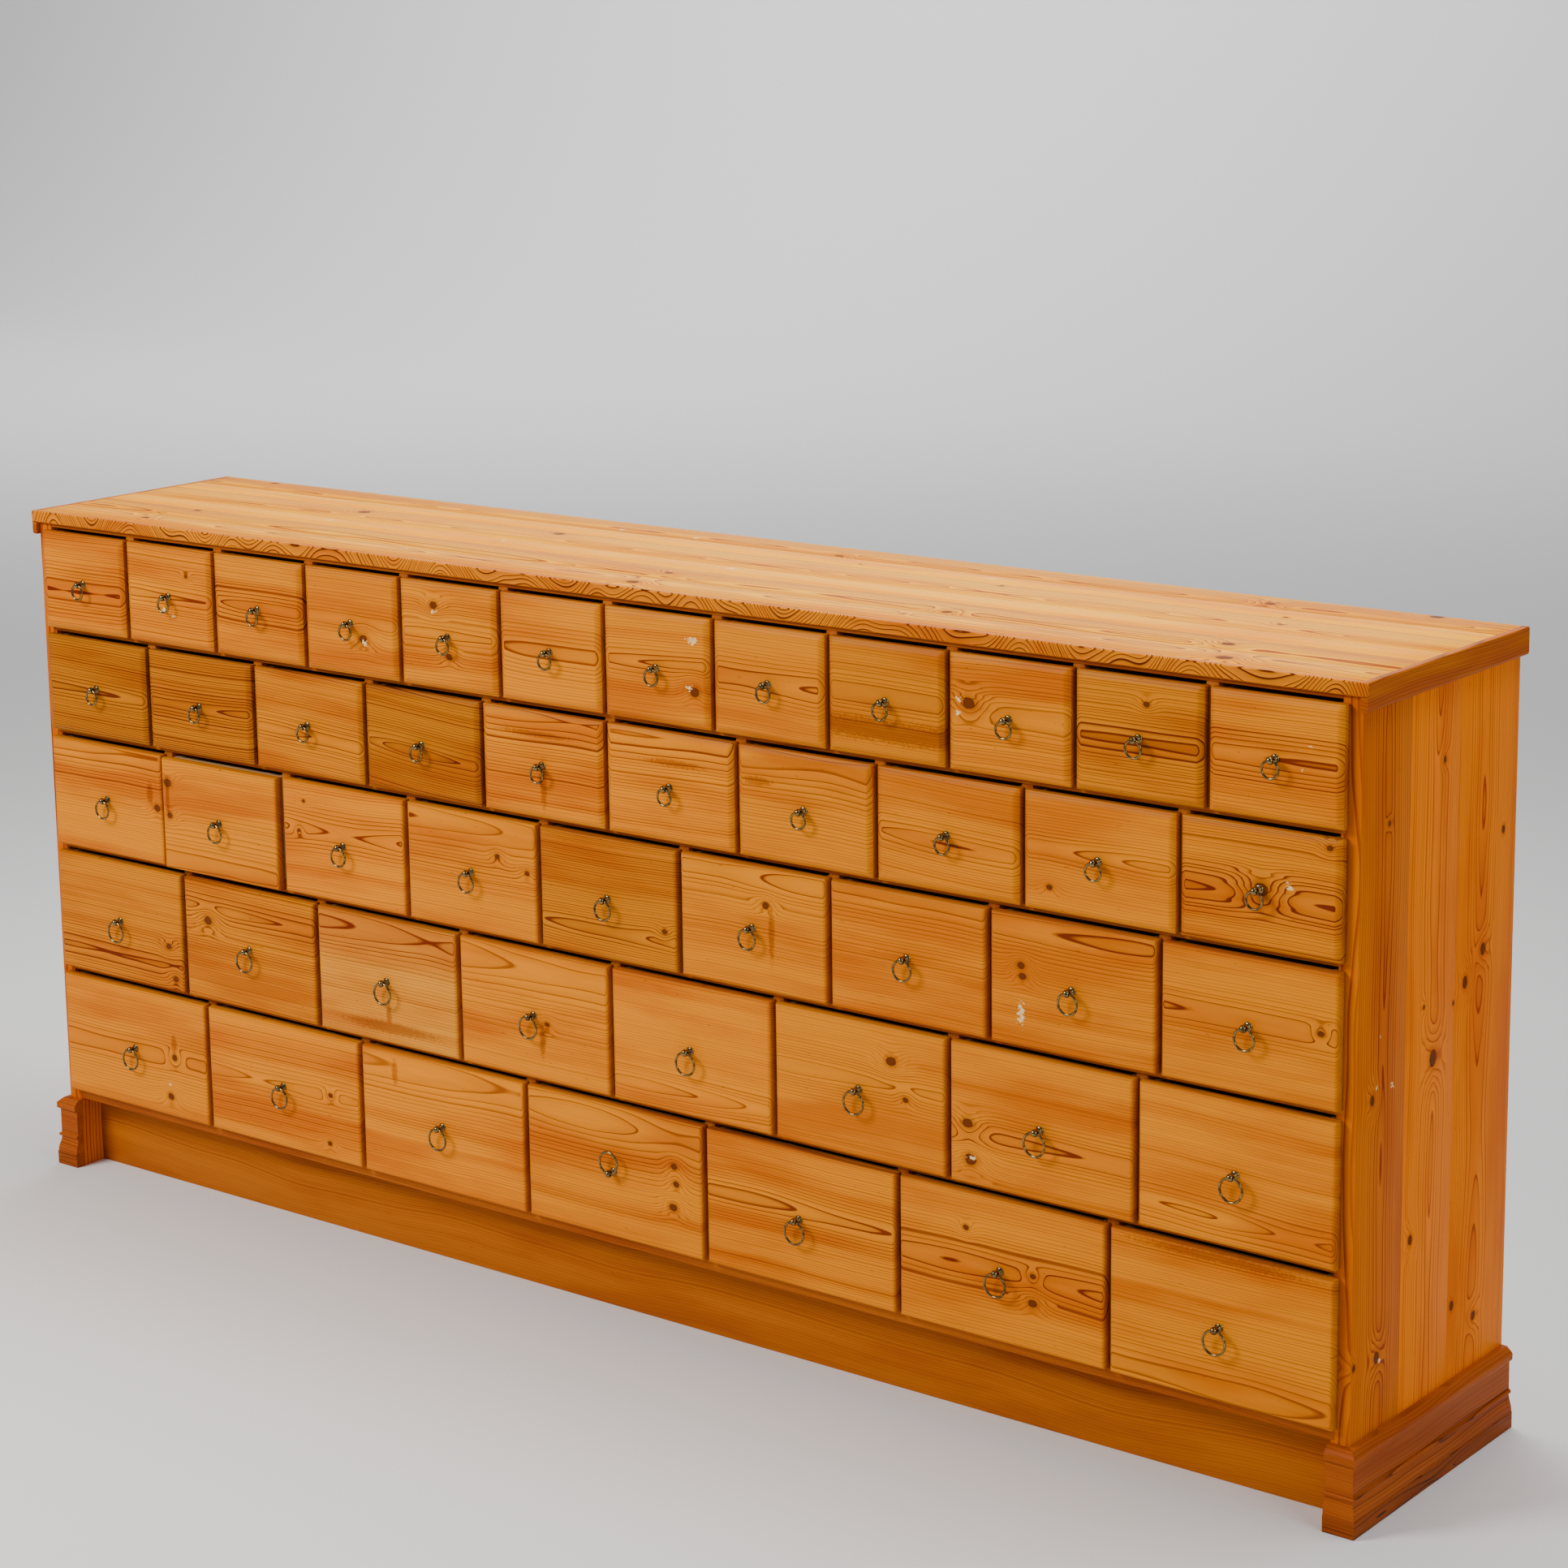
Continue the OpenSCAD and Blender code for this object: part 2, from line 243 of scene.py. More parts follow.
def make_group(name, inputs, outputs, build):
    """A node group. inputs and outputs are {name: kind}; build(net, inputs) returns results."""
    tree = bpy.data.node_groups.new(name, "ShaderNodeTree")
    for way, sockets in (("INPUT", inputs), ("OUTPUT", outputs)):
        for key, kind in sockets.items():
            tree.interface.new_socket(key, in_out=way, socket_type="NodeSocket" + kind)
    net = Net(tree)
    source = tree.nodes.new("NodeGroupInput")
    sink = tree.nodes.new("NodeGroupOutput")
    results = build(net, {key: source.outputs[key] for key in inputs})
    for key, value in results.items():
        net.put(sink.inputs[key], value)
    return tree


# ---------------------------------------------------------------- pine
# Every wooden mesh carries the attribute "grain": x along the grain, y across the board
# and z in from its best face. The growth rings are then cylinders round a drifting pith.


def build_rings(net, i):
    x, y, z = net.split(i["Grain"])
    seed = i["Seed"]
    drift = net.noise(net.join(net.times(x, 2.6), seed, 0.0), 1.0)
    drift_y = net.times(net.minus(drift, 0.5), i["Sway"])
    drift = net.noise(net.join(net.times(x, 3.1), seed, 9.0), 1.0)
    drift_z = net.times(net.minus(drift, 0.5), i["Sway"])
    dy = net.minus(net.minus(y, i["Height"]), drift_y)
    dz = net.minus(net.minus(z, i["Depth"]), drift_z)
    radius = net.length(dy, dz)
    lean = net.math("DIVIDE", net.math("ABSOLUTE", dy), radius)
    rings = net.math("DIVIDE", radius, i["Ring"])
    place = net.join(net.plus(net.times(x, 5.0), seed), net.times(y, 20.0), net.times(z, 20.0))
    wave = net.minus(net.noise(place, 2.0), 0.5)
    rings = net.plus(rings, net.times(wave, i["Wobble"]))
    uneven = net.noise(net.join(net.times(rings, 0.31), seed, 3.0), 2.0)
    rings = net.plus(rings, net.times(net.minus(uneven, 0.5), 3.0))
    return {"Rings": rings, "Lean": lean}


def build_knot(net, i):
    x, y, _ = net.split(i["Grain"])
    dx = net.times(net.minus(x, i["X"]), 0.8)
    dy = net.minus(y, i["Y"])
    bumpy = net.minus(net.noise(net.join(net.times(x, 120.0), net.times(y, 120.0), 0.0)), 0.5)
    reach = net.math("DIVIDE", net.length(dx, dy), i["Size"])
    near = net.plus(reach, net.times(bumpy, 0.5))
    push = net.math("EXPONENT", net.times(net.times(reach, reach), -0.11))
    rings = net.plus(i["Rings"], net.times(push, i["Push"]))
    inside = net.step(near, 1.1, 0.85)
    return {
        "Rings": rings,
        "Knot": net.math("MAXIMUM", i["Knot"], inside),
        "Near": net.math("MINIMUM", i["Near"], near),
    }


def build_patch(net, i):
    x, y, _ = net.split(i["Grain"])
    dx = net.math("DIVIDE", net.minus(x, i["X"]), i["Width"])
    dy = net.math("DIVIDE", net.minus(y, i["Y"]), i["Tall"])
    flakes = net.noise(net.join(net.times(x, 260.0), net.times(y, 260.0), 0.0), 3.0, 0.6)
    ragged = net.times(net.minus(flakes, 0.5), i["Ragged"])
    depth = net.plus(net.minus(1.0, net.length(dx, dy)), ragged)
    edge = net.step(depth, i["Edge"], 0.62)
    return {"Patch": net.math("MAXIMUM", i["Patch"], edge)}


KNOT_RED = (0.17, 0.036, 0.004, 1)
KNOT_RIM = (0.06, 0.014, 0.002, 1)
CHIPPED = (0.85, 0.60, 0.28, 1)
STAINED = (0.50, 0.36, 0.30, 1)


def build_wood(net, i):
    x, y, z = net.split(i["Grain"])
    rings = i["Rings"]
    phase = net.math("FRACT", rings)
    start = net.minus(0.84, net.times(i["Lean"], 0.30))
    late = net.times(net.step(phase, start, 0.94), net.step(phase, 1.0, 0.955))
    year = net.add("ShaderNodeTexWhiteNoise", noise_dimensions="1D")
    net.put(year.inputs["W"], net.plus(net.math("FLOOR", rings), i["Seed"]))
    late = net.times(late, net.plus(net.times(year.outputs[0], 0.5), 0.65))
    early = net.times(net.step(phase, 0.0, 0.9), 0.20)
    slow = net.noise(net.join(net.times(rings, 0.14), i["Seed"], 7.0), 1.0)
    band = net.step(slow, 0.46, 0.66)
    late = net.times(late, net.plus(net.times(band, 0.5), 0.75))
    faint = net.minus(1.0, net.times(net.times(i["Lean"], i["Lean"]), 0.66))
    late = net.times(net.plus(late, early), faint)
    late = net.math("MULTIPLY", late, i["Contrast"], clamp=True)

    place = net.join(net.plus(net.times(x, 2.5), i["Seed"]), net.times(y, 16.0), net.times(z, 16.0))
    cloud = net.noise(place, 3.0, 0.55)
    fibre = net.noise(net.join(net.times(x, 14.0), net.times(y, 330.0), net.times(z, 330.0)), 2.0)
    spots = net.noise(net.join(net.times(x, 90.0), net.times(y, 420.0), i["Seed"]), 1.0)
    fleck = net.times(net.step(spots, 0.76, 0.80), 0.5)

    colour = net.mix(late, i["Light"], i["Dark"])
    warmth = net.plus(net.times(net.step(cloud, 0.42, 0.66), 0.85), net.times(band, 0.45))
    colour = net.mix(warmth, colour, i["Warm"], "MULTIPLY")
    grey = net.plus(net.times(fibre, 0.16), 0.92)
    colour = net.mix(1.0, colour, net.join(grey, grey, grey), "MULTIPLY")
    colour = net.mix(fleck, colour, i["Dark"], "MULTIPLY")
    halo = net.times(net.step(i["Near"], 2.2, 0.9), 0.4)
    colour = net.mix(halo, colour, i["Dark"])
    turns = net.step(net.math("FRACT", net.times(i["Near"], 3.3)), 0.3, 0.9)
    core = net.mix(net.times(turns, 0.5), KNOT_RED, KNOT_RIM)
    rim = net.times(net.step(i["Near"], 0.7, 0.95), i["Knot"])
    core = net.mix(net.times(rim, 0.8), core, KNOT_RIM)
    colour = net.mix(i["Knot"], colour, core)
    colour = net.mix(net.times(i["Stain"], 0.75), colour, STAINED, "MULTIPLY")
    colour = net.mix(i["Chip"], colour, CHIPPED)
    # The mesh's tone darkens the colour: a plank's random tone, darkening towards a front's rim, and
    # painted shade on the fronts' sides.
    tone = net.add("ShaderNodeAttribute", attribute_name="tone").outputs["Fac"]
    colour = net.mix(1.0, colour, net.join(tone, tone, tone), "MULTIPLY")
    rough = net.plus(net.times(late, -0.06), net.times(fibre, 0.14))
    rough = net.plus(net.plus(rough, i["Roughness"]), net.times(i["Chip"], 0.4))
    height = net.plus(net.times(late, 0.35), net.times(fibre, 0.25))
    height = net.minus(height, net.plus(net.times(i["Chip"], 2.5), net.times(rim, 0.8)))
    return {"Color": colour, "Roughness": rough, "Height": height}


RINGS_GROUP = make_group(
    "growth_rings",
    dict(Grain="Vector", Seed="Float", Depth="Float", Height="Float", Ring="Float")
    | dict(Sway="Float", Wobble="Float"),
    dict(Rings="Float", Lean="Float"),
    build_rings,
)
KNOT_GROUP = make_group(
    "knot",
    dict(Grain="Vector", X="Float", Y="Float", Size="Float", Push="Float")
    | dict(Rings="Float", Knot="Float", Near="Float"),
    dict(Rings="Float", Knot="Float", Near="Float"),
    build_knot,
)
PATCH_GROUP = make_group(
    "patch",
    dict(Grain="Vector", X="Float", Y="Float", Width="Float", Tall="Float")
    | dict(Ragged="Float", Edge="Float", Patch="Float"),
    dict(Patch="Float"),
    build_patch,
)
WOOD_GROUP = make_group(
    "pine",
    dict(Grain="Vector", Seed="Float", Rings="Float", Lean="Float", Knot="Float")
    | dict(Near="Float", Chip="Float", Stain="Float", Contrast="Float", Roughness="Float")
    | dict(Light="Color", Dark="Color", Warm="Color"),
    dict(Color="Color", Roughness="Float", Height="Float"),
    build_wood,
)

HONEY = dict(light=(0.84, 0.262, 0.0), dark=(0.22, 0.030, 0.0), warm=(0.76, 0.55, 0.4))


def pine(
    name,
    seed=0.0,
    depth=30,
    height=0,
    ring=3.2,
    sway=26,
    wobble=0.9,
    contrast=1.0,
    roughness=0.34,
    gloss=0.05,
    tone=1.0,
    light=HONEY["light"],
    dark=HONEY["dark"],
    warm=HONEY["warm"],
    knots=(),
    chips=(),
    stains=(),
):
    """A pine board's material. depth places the pith behind the face, or in front of it when
    negative, height places it off the middle, and ring is a year's growth, all in mm. knots
    are (x, y, radius), chips and stains (x, y, half width, half height), in mm from the
    middle of the board's face."""
    material = bpy.data.materials.new(name)
    material.use_nodes = True
    net = Net(material.node_tree)
    shader = material.node_tree.nodes["Principled BSDF"]
    grain = net.add("ShaderNodeAttribute", attribute_name="grain").outputs["Vector"]
    rings, lean = net.use(
        RINGS_GROUP,
        dict(Grain=grain, Seed=seed, Depth=depth * MM, Height=height * MM, Ring=ring * MM)
        | dict(Sway=sway * MM, Wobble=wobble),
    )
    knot, near = 0.0, 9.0
    for x, y, size in knots:
        rings, knot, near = net.use(
            KNOT_GROUP,
            dict(Grain=grain, X=x * MM, Y=y * MM, Size=size * 0.8 * MM, Push=0.5 + size * 0.4)
            | dict(Rings=rings, Knot=knot, Near=near),
        )
    patches = []
    for places, ragged, edge in ((chips, 3.4, 0.5), (stains, 1.2, 0.0)):
        patch = 0.0
        for x, y, wide, tall in places:
            spot = dict(Grain=grain, X=x * MM, Y=y * MM, Width=wide * MM, Tall=tall * MM)
            spot |= dict(Ragged=ragged, Edge=edge, Patch=patch)
            patch = net.use(PATCH_GROUP, spot)[0]
        patches.append(patch)
    colour, rough, relief = net.use(
        WOOD_GROUP,
        dict(Grain=grain, Seed=seed, Rings=rings, Lean=lean, Knot=knot, Near=near)
        | dict(Chip=patches[0], Stain=patches[1], Contrast=contrast, Roughness=roughness)
        | dict(Light=(*(c * tone for c in light), 1), Dark=(*(c * tone for c in dark), 1))
        | dict(Warm=(*warm, 1)),
    )
    bumps = net.add("ShaderNodeBump", {"Strength": 0.2, "Distance": 0.3 * MM, "Height": relief})
    net.put(shader.inputs["Base Color"], colour)
    net.put(shader.inputs["Roughness"], rough)
    net.put(shader.inputs["Normal"], bumps.outputs[0])
    shader.inputs["Specular IOR Level"].default_value = gloss
    return material


BRASS = (0.25, 0.17, 0.062, 1)
TARNISH = (0.075, 0.046, 0.019, 1)


def brass(name, seed):
    """Old brass wire and turned brass: golden, with brown tarnish in patches."""
    material = bpy.data.materials.new(name)
    material.use_nodes = True
    net = Net(material.node_tree)
    shader = material.node_tree.nodes["Principled BSDF"]
    place = net.add("ShaderNodeTexCoord").outputs["Object"]
    cloud = net.add("ShaderNodeTexNoise", {"Vector": place, "Scale": 160.0, "Detail": 4.0})
    grime = net.step(cloud.outputs[0], 0.44, 0.68)
    colour = net.mix(grime, BRASS, TARNISH)
    fine = net.add("ShaderNodeTexNoise", {"Vector": place, "Scale": 900.0 + seed, "Detail": 2.0})
    bumps = net.add("ShaderNodeBump", {"Strength": 0.15, "Distance": 0.2 * MM})
    net.put(bumps.inputs["Height"], fine.outputs[0])
    net.put(shader.inputs["Base Color"], colour)
    net.put(shader.inputs["Roughness"], net.plus(net.times(grime, 0.22), 0.16))
    net.put(shader.inputs["Normal"], bumps.outputs[0])
    shader.inputs["Metallic"].default_value = 1.0
    return material


# ---------------------------------------------------------------- meshes


class Wood:
    """A mesh under construction. Its vertices carry the grain coordinates and a tone, which on the
    drawer fronts' sides is painted shade.
    """

    def __init__(self):
        self.bm = bmesh.new()
        self.grain = self.bm.verts.layers.float_vector.new("grain")
        self.tone = self.bm.verts.layers.float.new("tone")

    def mark(self, verts, middle, along, inward, shift=(0, 0, 0), tone=1.0):
        """Sets the grain coordinates of verts, measured from middle, a point on the face."""
        across = along.cross(inward)
        for v in verts:
            d = v.co - middle
            v[self.grain] = Vector((d.dot(along), d.dot(across), d.dot(inward))) + Vector(shift)
            v[self.tone] = tone

    def skin(self, loops):
        """Closes a row of equal loops into a solid, with a cap at each end."""
        n = len(loops[0])
        for one, other in zip(loops, loops[1:]):
            for k in range(n):
                m = (k + 1) % n
                self.bm.faces.new((one[k], one[m], other[m], other[k]))
        self.bm.faces.new(list(reversed(loops[0])))
        self.bm.faces.new(loops[-1])

    def plank(self, lo, hi, along, inward, shift=(0, 0, 0), edge=1.0, uneven=0.15, tone=1.0):
        """A board between two corners, with eased edges and faces that are a little uneven.
        edge is the easing's width and uneven the wander of its surface, in mm."""
        lo, hi = Vector(lo), Vector(hi)
        axis = max(range(3), key=lambda k: abs(along[k]))
        u, v = (axis + 1) % 3, (axis + 2) % 3
        half_u, half_v = (hi[u] - lo[u]) / 2, (hi[v] - lo[v]) / 2
        ease = min(edge * MM, 0.35 * min(half_u, half_v))
        section = []
        for turn, (su, sv) in enumerate(((-1, -1), (1, -1), (1, 1), (-1, 1))):
            corner = [(0, 1), (0.29, 0.29), (1, 0)]
            for a, b in corner if turn % 2 == 0 else reversed(corner):
                section.append((su * (half_u - a * ease), sv * (half_v - b * ease)))
        length = hi[axis] - lo[axis]
        count = max(1, round(length / (60 * MM))) if uneven else 1
        inner = [ease + (length - 2 * ease) * k / count for k in range(count + 1)]
        stations = [(0.0, ease), (0.3 * ease, 0.3 * ease)]
        stations += [(s, 0.0) for s in inner]
        stations += [(length - 0.3 * ease, 0.3 * ease), (length, ease)]
        made, loops = [], []
        middle = (lo + hi) / 2
        for s, inset in stations:
            loop = []
            for a, b in section:
                spot = middle.copy()
                spot[axis] = lo[axis] + s
                spot[u] += a * (1 - inset / half_u)
                spot[v] += b * (1 - inset / half_v)
                if uneven:
                    wander = noise.noise_vector(spot * 9.0 + Vector(shift) * 3.0) * uneven * MM
                    spot = Vector(min(max(spot[k] + wander[k], lo[k]), hi[k]) for k in range(3))
                loop.append(self.bm.verts.new(spot))
            loops.append(loop)
            made += loop
        self.skin(loops)
        face = middle - inward * (abs((hi - lo).dot(inward)) / 2)
        self.mark(made, face, along, inward, shift, tone)

    def sweep(self, profile, origin, along, out, ends, slopes, shift=(0, 0, 0), figure=1.0):
        """A profile of (distance out, height) points run from one end to the other. Each end
        moves along by its slope times the distance out, which makes a mitre. figure shortens
        the pattern along the grain, for wilder wood."""
        stations = [0, 0.001, 0.02, 0.5, 0.98, 0.999, 1]
        loops, made = [], []
        for s in stations:
            loop = []
            for o, z in profile:
                start = ends[0] + slopes[0] * o
                end = ends[1] + slopes[1] * o
                place = origin + along * (start + (end - start) * s) + out * o + Z * z
                loop.append(self.bm.verts.new(place))
            loops.append(loop)
            made += loop
        self.skin(loops)
        widest = max(o for o, _ in profile)
        self.mark(made, origin + out * widest, along, -out, shift)
        for v in made:
            v[self.grain].x *= figure

    def finish(self, name, material, body, nodes, crease=35):
        return finish_piece(self.bm, name, material, body, nodes, crease)


def finish_piece(bm, name, material, body, nodes, crease=35):
    """Turns a bmesh into a shaded piece that rides on a body and stands for CAD nodes."""
    bmesh.ops.recalc_face_normals(bm, faces=bm.faces)
    mesh = bpy.data.meshes.new(name)
    bm.to_mesh(mesh)
    bm.free()
    for face in mesh.polygons:
        face.use_smooth = True
    mesh.set_sharp_from_angle(angle=math.radians(crease))
    mesh.materials.append(material)
    piece = bpy.data.objects.new(name, mesh)
    bpy.context.scene.collection.objects.link(piece)
    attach(piece, body)
    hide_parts(*nodes)
    return piece


# ---------------------------------------------------------------- drawers

FRONT_SEAT = 0.5 * MM
FRONT_T = 12 * MM
# Each row's edge: how wide the bevel is and how far it falls back, in mm.
BEVELS = {1: (8.5, 3.4), 2: (8.0, 3.2), 3: (5.5, 3.0), 4: (5.5, 3.0), 5: (5.0, 2.8)}


def edge_profile(row, rng):
    """(inset from the edge, set-back from the face) points, from the edge to the flat."""
    wide, deep = BEVELS[row]
    wide *= rng.uniform(0.85, 1.0)
    if row <= 2:
        points = [(0, deep + 1.0), (0.25, deep), (wide * 0.35, deep * 0.60)]
        points += [(wide * 0.7, deep * 0.24), (wide * 0.93, 0.1), (wide + 1.2, 0)]
    else:
        points = [(0, deep + 1.2), (0.5, deep - 0.6)]
        for i in range(1, 6):
            a = math.radians(90 * i / 5)
            inset = 0.5 + (wide - 0.5) * (1 - math.cos(a))
            points.append((inset, (deep - 0.6) * (1 - math.sin(a))))
    return [(a * MM, b * MM) for a, b in points]


def profile_depth(points, inset):
    """The set-back of the face at a distance in from the edge."""
    for (a, da), (b, db) in zip(points, points[1:]):
        if inset <= b:
            return da + (db - da) * max(inset - a, 0) / max(b - a, 1e-9)
    return 0.0


def front_lines(size, points):
    """Grid places across a front: the profile's insets at both edges, and some between."""
    insets = [a for a, _ in points]
    inner = size - 2 * insets[-1]
    count = max(3, round(inner / 0.03))
    middle = [insets[-1] + inner * i / count for i in range(1, count)]
    return insets + middle + [size - a for a in reversed(insets)]


def make_front(name, row, lo, hi, material, rng):
    """A drawer front: a height field of bevelled edges over a board, a little uneven."""
    wood = Wood()
    bm = wood.bm
    points = edge_profile(row, rng)
    size_x, size_z = hi.x - lo.x, hi.z - lo.z
    xs, zs = front_lines(size_x, points), front_lines(size_z, points)
    off = rng.uniform(0, 50)
    grid = []
    for x in xs:
        line = []
        for z in zs:
            inset_x, inset_z = min(x, size_x - x), min(z, size_z - z)
            back = max(profile_depth(points, inset_x), profile_depth(points, inset_z))
            wander = noise.noise(Vector((x * 14, z * 14, off)))
            back += max(0.0, 0.28 * MM * (wander + 0.6))
            line.append(bm.verts.new((lo.x + x, lo.y + back, lo.z + z)))
        grid.append(line)
    for i in range(len(xs) - 1):
        for j in range(len(zs) - 1):
            bm.faces.new((grid[i][j], grid[i + 1][j], grid[i + 1][j + 1], grid[i][j + 1]))
    middle = Vector(((lo.x + hi.x) / 2, lo.y, (lo.z + hi.z) / 2))
    wood.mark(bm.verts, middle, X, Y)
    # The face's tone falls from 1 in the middle to 0.74 at its rim.
    for v in bm.verts:
        inset = min(v.co.x - lo.x, hi.x - v.co.x, v.co.z - lo.z, hi.z - v.co.z)
        v[wood.tone] = min(1.0, 0.74 + 0.26 * inset / points[-1][0])
    rim = grid_rim(grid)
    n = len(rim)
    # The sides darken towards the back, to 0.72 and then 0.42: painted shade in the gaps between the
    # fronts.
    for deep, tone in ((7.5 * MM, 0.72), (hi.y - lo.y, 0.42)):
        ring = [bm.verts.new((v.co.x, lo.y + deep, v.co.z)) for v in rim]
        wood.mark(ring, middle, X, Y, tone=tone)
        for i in range(n):
            m = (i + 1) % n
            bm.faces.new((rim[i], rim[m], ring[m], ring[i]))
        rim = ring
    bm.faces.new(rim)
    return wood.finish("front" + name[6:], material, name, [name], 40)


def grid_rim(grid):
    """The vertices round the border of a grid, in order."""
    last = len(grid) - 1
    end = len(grid[0]) - 1
    rim = [grid[i][0] for i in range(last)]
    rim += [grid[last][j] for j in range(end)]
    rim += [grid[i][end] for i in range(last, 0, -1)]
    rim += [grid[0][j] for j in range(end, 0, -1)]
    return rim


BOX_T = 9 * MM
BOX_BOTTOM = 6 * MM
BACK_DROP = 6 * MM
GLUE = 0.1 * MM


def make_box(name, lo, hi, material, rng):
    """The open box behind a front: bottom, two sides, inner front and back, nailed up."""

    def shift():
        return rng.uniform(-3, 3), rng.uniform(-0.4, 0.4), rng.uniform(0, 0.02)

    wood = Wood()
    z1 = lo.z + BOX_BOTTOM
    wood.plank(lo, (hi.x, hi.y, z1), X, Z, shift(), 0.4, 0)
    for x0, inward in ((lo.x, X), (hi.x - BOX_T, -X)):
        wood.plank((x0, lo.y, z1 + GLUE), (x0 + BOX_T, hi.y, hi.z), Y, inward, shift(), 0.8, 0.1)
    x0, x1 = lo.x + BOX_T + GLUE, hi.x - BOX_T - GLUE
    wood.plank((x0, lo.y, z1 + GLUE), (x1, lo.y + BOX_T, hi.z), X, Y, shift(), 0.8, 0.1)
    top = hi.z - BACK_DROP
    wood.plank((x0, hi.y - BOX_T, z1 + GLUE), (x1, hi.y, top), X, -Y, shift(), 0.8, 0.1)
    return wood.finish("box" + name[6:], material, name, [name])


# ---------------------------------------------------------------- ring pulls

BALL_D = 9 * MM
BALL_OUT = 10 * MM
WIRE_D = 3 * MM
RING_D = {1: 22.5, 2: 22.5, 3: 27, 4: 30.5, 5: 30.5}
FLIPPED = (5, 4)


def lathe(bm, outline, origin, axis, closed=False, turns=28):
    """Revolves (radius, distance) points about an axis through origin."""
    side = axis.orthogonal().normalized()
    other = axis.cross(side)
    loops = []
    for radius, distance in outline:
        centre = origin + axis * distance
        if radius < 1e-7:
            loops.append([bm.verts.new(centre)])
            continue
        angles = [2 * math.pi * k / turns for k in range(turns)]
        spots = [centre + (side * math.cos(a) + other * math.sin(a)) * radius for a in angles]
        loops.append([bm.verts.new(p) for p in spots])
    pairs = list(zip(loops, loops[1:]))
    if closed:
        pairs.append((loops[-1], loops[0]))
    for a, b in pairs:
        for k in range(turns):
            m = (k + 1) % turns
            corners = [a[k % len(a)], a[m % len(a)], b[m % len(b)], b[k % len(b)]]
            bm.faces.new(list(dict.fromkeys(corners)))


def eye_radius(row):
    """The radius of the ball's eye, which clears the wire of the bent ring in it."""
    ring = (RING_D[row] * MM - WIRE_D) / 2
    return WIRE_D / 2 + ring - math.sqrt(ring**2 - (BALL_D / 2) ** 2) + 0.2 * MM


def add_stud(bm, ball, face_y, row):
    """A domed rosette and a neck on the front, and a ball with an eye for the ring."""
    eye, radius = eye_radius(row), BALL_D / 2
    reach = math.sqrt(radius**2 - eye**2)
    start = math.degrees(math.atan2(eye, reach))
    angles = [math.radians(start + (180 - 2 * start) * k / 14) for k in range(15)]
    bead = [(radius * math.sin(a), -radius * math.cos(a)) for a in angles]
    lathe(bm, bead + [(eye - 0.1 * MM, 0.6 * reach), (eye - 0.1 * MM, -0.6 * reach)], ball, X, True)
    out = face_y - ball.y
    shape = [(0, 0.1), (5.0, 0.1), (5.25, 0.5), (5.0, 1.0), (4.4, 1.5), (4.1, 1.7), (3.6, 1.9)]
    shape += [(3.9, 2.3), (3.7, 2.8), (3.0, 3.4), (2.4, 4.0), (2.1, 4.8), (2.2, out / MM - 4.0)]
    outline = [(a * MM, b * MM) for a, b in shape] + [(0, out - 3.7 * MM)]
    lathe(bm, outline, Vector((ball.x, face_y, ball.z)), -Y)


def add_ring(bm, ball, row, rng, up):
    """A wire ring through the ball's eye. It hangs a few degrees off plumb, as they do."""
    radius = (RING_D[row] * MM - WIRE_D) / 2
    lean = math.radians(rng.uniform(-5, 5))
    down = Matrix.Rotation(lean, 3, Y) @ Vector((0, 0, 1 if up else -1))
    centre = ball + down * radius
    side = down.cross(Y)
    turns, sides = 56, 12
    loops = []
    for k in range(turns):
        a = 2 * math.pi * k / turns
        out = down * math.cos(a) + side * math.sin(a)
        wire = WIRE_D / 2 * (1 - 0.04 * (0.5 + 0.5 * math.sin(3 * a + lean * 40)))
        loop = []
        for m in range(sides):
            b = 2 * math.pi * m / sides
            spot = centre + out * (radius + wire * math.cos(b)) + Y * wire * math.sin(b)
            loop.append(bm.verts.new(spot))
        loops.append(loop)
    for k in range(turns):
        a, b = loops[k], loops[(k + 1) % turns]
        for m in range(sides):
            bm.faces.new((a[m], a[(m + 1) % sides], b[(m + 1) % sides], b[m]))


# ---------------------------------------------------------------- each drawer's board

RAW = dict(light=(0.52, 0.33, 0.16), dark=(0.30, 0.15, 0.055), warm=(0.9, 0.82, 0.72))

